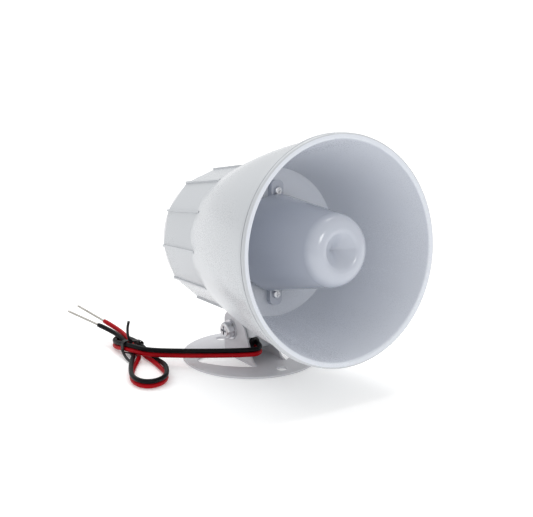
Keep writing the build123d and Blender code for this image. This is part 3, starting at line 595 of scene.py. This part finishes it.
# ---- studio --------------------------------------------------------------------------------------
@dataclass(frozen=True)
class Lamp:
    """A square soft light.

    Attributes:
        name: the light's name.
        at: where it stands.
        aim: the point it is turned towards.
        size: length of its sides.
        power: its power in watts.
        tint: its colour.
    """

    name: str
    at: Point
    aim: Point
    size: float
    power: float
    tint: Colour

    def build(self) -> None:
        """Adds the light to the scene."""
        data = bpy.data.lights.new(self.name, "AREA")
        data.size = self.size
        data.energy = self.power
        data.color = self.tint
        piece = object_of(self.name, data)
        turn = (Vector(self.aim) - Vector(self.at)).to_track_quat("-Z", "Y").to_matrix().to_4x4()
        piece.matrix_world = Matrix.Translation(self.at) @ turn


LAMPS = (
    Lamp("top", (0.25, 0.1, 0.85), (0.0, -0.02, 0.08), 0.4, 2.2, (1.0, 1.0, 0.99)),
    Lamp("front", (0.0, -1.3, 0.65), (0.0, -0.03, 0.06), 0.35, 2.2, (1.0, 0.99, 0.97)),
    Lamp("side", (-1.1, 0.5, 0.5), (0.0, -0.03, 0.06), 0.8, 0.7, (0.97, 0.99, 1.0)),
    Lamp("floor_wash", (0.0, 2.2, 2.2), (0.0, 1.6, 0.0), 2.5, 30.0, (1.0, 1.0, 1.0)),
)


@dataclass
class Studio:
    """Camera, lights and the pale floor."""

    camera_at: Point = (-0.45978, -0.67605, 0.29579)
    azimuth: float = -34.78
    elevation: float = 16.65
    roll: float = 0.08
    lens: float = 114.96
    sensor_width: float = 36.0
    clip_start: float = 0.01
    floor_half: float = 5.0
    floor_drop: float = 0.2 * MM
    floor_colour: Colour = (0.93, 0.93, 0.93)
    floor_glow: float = 0.22
    world_colour: Colour = (1.0, 1.0, 1.0)
    world_strength: float = 0.74

    def camera(self) -> None:
        """Makes the camera and gives it to the scene."""
        data = bpy.data.cameras.new("camera")
        data.lens = self.lens
        data.sensor_width = self.sensor_width
        data.clip_start = self.clip_start
        piece = object_of("camera", data)
        turn = (
            Matrix.Rotation(math.radians(self.azimuth), 4, "Z")
            @ Matrix.Rotation(math.radians(90 - self.elevation), 4, "X")
            @ Matrix.Rotation(math.radians(self.roll), 4, "Z")
        )
        piece.matrix_world = Matrix.Translation(self.camera_at) @ turn
        bpy.context.scene.camera = piece

    def floor(self) -> None:
        """Makes the floor, a little below the part so that it never cuts through it."""
        work = bmesh.new()
        bmesh.ops.create_grid(work, x_segments=2, y_segments=2, size=self.floor_half)
        bmesh.ops.translate(work, verts=work.verts, vec=(0.0, 0.0, -self.floor_drop))
        mesh = bpy.data.meshes.new("floor")
        work.to_mesh(mesh)
        work.free()
        piece = object_of("floor", mesh)
        finish = Tree("studio_floor").dress(
            Base_Color=self.floor_colour,
            Roughness=0.75,
            Emission_Color=self.world_colour,
            Emission_Strength=self.floor_glow,
        )
        piece.data.materials.append(finish)

    def build(self) -> None:
        """Builds the whole studio."""
        world = bpy.data.worlds.new("studio")
        world.use_nodes = True
        backdrop = world.node_tree.nodes["Background"]
        backdrop.inputs["Color"].default_value = (*self.world_colour, 1.0)
        backdrop.inputs["Strength"].default_value = self.world_strength
        bpy.context.scene.world = world
        bpy.context.scene.view_settings.view_transform = "Standard"
        for lamp in LAMPS:
            lamp.build()
        self.floor()


# ---- leads ---------------------------------------------------------------------------------------
# Control points of each lead's line, in millimetres: outlet, front of the ear, loop, tie and loose end.
BLACK_ROUTE: tuple[Point, ...] = (
    (-2.6, -8.0, 9.925),
    (-2.6, -11.4, 9.925),
    (-6.2, -17.7, 10.2),
    (-11.1, -17.9, 10.1),
    (-23.9, -5.2, 8.5),
    (-36.8, 7.8, 7.3),
    (-49.0, 20.4, 6.5),
    (-52.0, 29.4, 6.65),
    (-53.2, 36.6, 6.1),
    (-53.3, 43.4, 4.6),
    (-51.7, 49.2, 3.9),
    (-47.9, 52.6, 3.75),
    (-43.9, 50.0, 3.75),
    (-43.2, 43.2, 4.0),
    (-45.0, 34.4, 4.75),
    (-45.3, 26.0, 3.4),
    (-44.6, 18.5, 1.3),
    (-46.6, 9.6, 2.6),
    (-49.5, 1.6, 3.9),
    (-52.8, -4.8, 3.75),
    (-57.2, -10.4, 3.75),
    (-63.2, -13.0, 3.75),
    (-68.4, -11.9, 3.75),
    (-70.9, -7.1, 3.75),
    (-70.3, -0.4, 3.75),
    (-66.4, 7.2, 3.75),
    (-61.4, 15.3, 3.7),
    (-56.2, 22.5, 3.2),
    (-51.9, 28.9, 1.4),
    (-50.3, 35.0, 2.2),
    (-49.9, 42.2, 5.8),
    (-49.8, 52.6, 7.2),
    (-53.6, 62.1, 9.1),
)
RED_ROUTE: tuple[Point, ...] = (
    (-2.6, -8.0, 7.475),
    (-2.6, -11.4, 7.475),
    (-6.2, -17.7, 7.75),
    (-11.1, -17.9, 7.65),
    (-23.9, -5.2, 6.05),
    (-36.8, 7.8, 4.8),
    (-49.0, 20.4, 4.0),
    (-52.0, 29.4, 4.2),
    (-53.2, 36.6, 3.6),
    (-53.3, 43.4, 2.1),
    (-51.7, 49.2, 1.4),
    (-47.9, 52.6, 1.25),
    (-43.9, 50.0, 1.25),
    (-43.2, 43.2, 1.5),
    (-45.1, 34.4, 2.25),
    (-47.2, 26.0, 1.4),
    (-47.4, 18.4, 1.25),
    (-48.9, 9.4, 1.25),
    (-50.6, 0.6, 1.25),
    (-53.6, -5.6, 1.25),
    (-57.8, -10.4, 1.25),
    (-63.4, -12.7, 1.25),
    (-68.2, -11.6, 1.25),
    (-70.6, -7.0, 1.25),
    (-70.1, -0.6, 1.25),
    (-66.2, 6.8, 1.25),
    (-60.4, 14.6, 1.25),
    (-54.6, 21.2, 1.25),
    (-49.7, 27.0, 1.25),
    (-47.9, 34.4, 2.05),
    (-46.7, 41.6, 4.9),
    (-45.6, 53.4, 7.1),
    (-48.6, 64.7, 9.5),
)


@dataclass
class Lead:
    """One insulated conductor, from the grommet to its tinned end.

    Attributes:
        colour: the word for its colour, as in the names of its parts.
        route: control points of its line, in millimetres.
        look: finish of the insulation.
        diameter: outside diameter of the insulation.
        sides: how many faces go round the insulation.
        crown: share of the radius by which the insulation's ends are drawn in.
        strands: how many strands lie round the core strand.
        strand_radius: radius of one strand.
        strand_sides: how many faces go round a strand.
        strand_steps: how many steps a strand's line has.
        strand_crown: share of the radius by which a strand's ends are drawn in.
        strand_inside: how far the strands reach back into the insulation.
        core_short: how far the core strand stops short of the others.
        reach_share: share of the CAD strand's diagonal that the strands reach.
        lay_length: length in which a strand goes once round.
        bend_start: not used; meant as where the bend at the outlet leaves the horn's body.
        bend_end: not used; meant as where that bend reaches the base's body.
    """

    colour: str
    route: Sequence[Point]
    look: Look
    diameter: float = 2.4 * MM
    sides: int = 16
    crown: float = 0.12
    strands: int = 6
    strand_radius: float = 0.2 * MM
    strand_sides: int = 8
    strand_steps: int = 40
    strand_crown: float = 0.35
    strand_inside: float = 3 * MM
    core_short: float = 0.1 * MM
    reach_share: float = 0.97
    lay_length: float = 9 * MM
    bend_start: Point = (-0.0026, -0.0085, 0.0087)
    bend_end: Point = (-0.0092, -0.0085, 0.0087)

    def bare_end(self, end: Vector, ahead: Vector, length: float) -> bpy.types.Object:
        """The tinned strands twisted round a core strand.

        Args:
            end: where the insulation ends.
            ahead: the conductor's direction there.
            length: how far the strands reach.

        Returns:
            The strands as one mesh.
        """
        side = ahead.orthogonal().normalized()
        up = ahead.cross(side)
        inside = self.strand_inside
        out = 2 * self.strand_radius
        lines = []
        for k in range(self.strands):
            line = []
            for i in range(self.strand_steps + 1):
                along = -inside + (length + inside) * i / self.strand_steps
                turn = 2 * math.pi * (k / self.strands + along / self.lay_length)
                line.append(end + ahead * along + (side * math.cos(turn) + up * math.sin(turn)) * out)
            lines.append(line)
        lines.append([end + ahead * reach for reach in (-inside, length * 0.5, length - self.core_short)])
        name = f"strands_{self.colour}"
        return tube_mesh(name, lines, self.strand_radius, self.strand_sides, self.strand_crown)

    def build(self, finishes: Finishes) -> None:
        """Builds the conductor and its end and puts them in the CAD tubes' place."""
        points = [tuple(part * MM for part in point) for point in self.route]
        line = line_of(points)
        jacket = tube_mesh(f"lead_{self.colour}_jacket", [line], self.diameter / 2, self.sides, self.crown)
        finishes.cover(jacket, self.look)
        low, high = (Vector(corner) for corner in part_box(f"strand_{self.colour}"))
        ahead = (line[-1] - line[-2]).normalized()
        reach = (high - low).length * self.reach_share
        strands = self.bare_end(line[-1], ahead, reach)
        finishes.cover(strands, Look.tinned_copper)
        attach(strands, "base")
        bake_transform(jacket)
        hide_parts(f"lead_{self.colour}", f"lead_{self.colour}_flex")
        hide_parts(f"strand_{self.colour}")


# ---- the siren's own parts -----------------------------------------------------------------------
@dataclass
class Dressed:
    """A group of CAD parts that keep their shape and get their finishes."""

    title: str
    looks: Mapping[str, Look]

    def dress(self, nodes: Mapping[str, bpy.types.Object], finishes: Finishes) -> None:
        """Puts each part's look on it; a name that ends in a star covers every part that starts so."""
        count = 0
        for name, look in self.looks.items():
            chosen = [n for n in nodes if (n.startswith(name[:-1]) if name.endswith("*") else n == name)]
            for node in chosen:
                finishes.cover(nodes[node], look)
            count += len(chosen)
        LOG.info("%s: %d parts dressed", self.title, count)


def groups() -> list[Dressed]:
    """The siren's groups of parts with their looks."""
    horn = Dressed(
        "horn",
        {
            "horn_shell": Look.shell_plastic,
            "reflector_cup": Look.cup_plastic,
            "cup_screw*": Look.zinc_steel,
        },
    )
    rear = Dressed(
        "rear",
        {
            "rear_cover": Look.cover_plastic,
            "cover_gasket": Look.rubber,
            "cover_screw*": Look.zinc_steel,
        },
    )
    driver = Dressed(
        "driver",
        {
            "throat_tube": Look.throat_plastic,
            "clamp_ring": Look.throat_plastic,
            "spacer_ring": Look.throat_plastic,
            "driver_gasket": Look.rubber,
            "driver_screw*": Look.zinc_steel,
            "top_plate": Look.plated_steel,
            "yoke": Look.plated_steel,
            "magnet": Look.ferrite,
            "voice_coil": Look.copper,
            "diaphragm": Look.film,
            "surround": Look.film,
        },
    )
    electronics = Dressed(
        "electronics",
        {
            "circuit_board": Look.board,
            "board_post*": Look.plated_steel,
            "board_screw*": Look.zinc_steel,
            "chip": Look.epoxy,
            "transistor*": Look.epoxy,
            "capacitor": Look.capacitor_sleeve,
            "choke": Look.choke_core,
            "heat_sink": Look.heat_sink,
            "resistor*": Look.resistor_body,
            "inner_lead_black": Look.black_pvc,
            "inner_lead_red": Look.red_pvc,
            "lead_grommet": Look.rubber,
        },
    )
    mounting = Dressed(
        "mounting",
        {
            "bracket": Look.bracket_paint,
            "pivot*": Look.zinc_steel,
            "head_washer": Look.zinc_steel,
            "spring_washer": Look.zinc_steel,
            "nut_washer": Look.zinc_steel,
            "twist_tie": Look.tie_sleeve,
        },
    )
    return [horn, rear, driver, electronics, mounting]


def main() -> None:
    """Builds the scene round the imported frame."""
    logging.basicConfig(level=logging.INFO, format="%(name)s: %(message)s")
    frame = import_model()
    studio = Studio()
    studio.camera()
    finishes = Finishes()
    for lead in (Lead("black", BLACK_ROUTE, Look.black_pvc), Lead("red", RED_ROUTE, Look.red_pvc)):
        lead.build(finishes)
    for group in groups():
        group.dress(frame["nodes"], finishes)
    studio.build()
    LOG.info("sizes written")


if __name__ == "__main__":
    main()
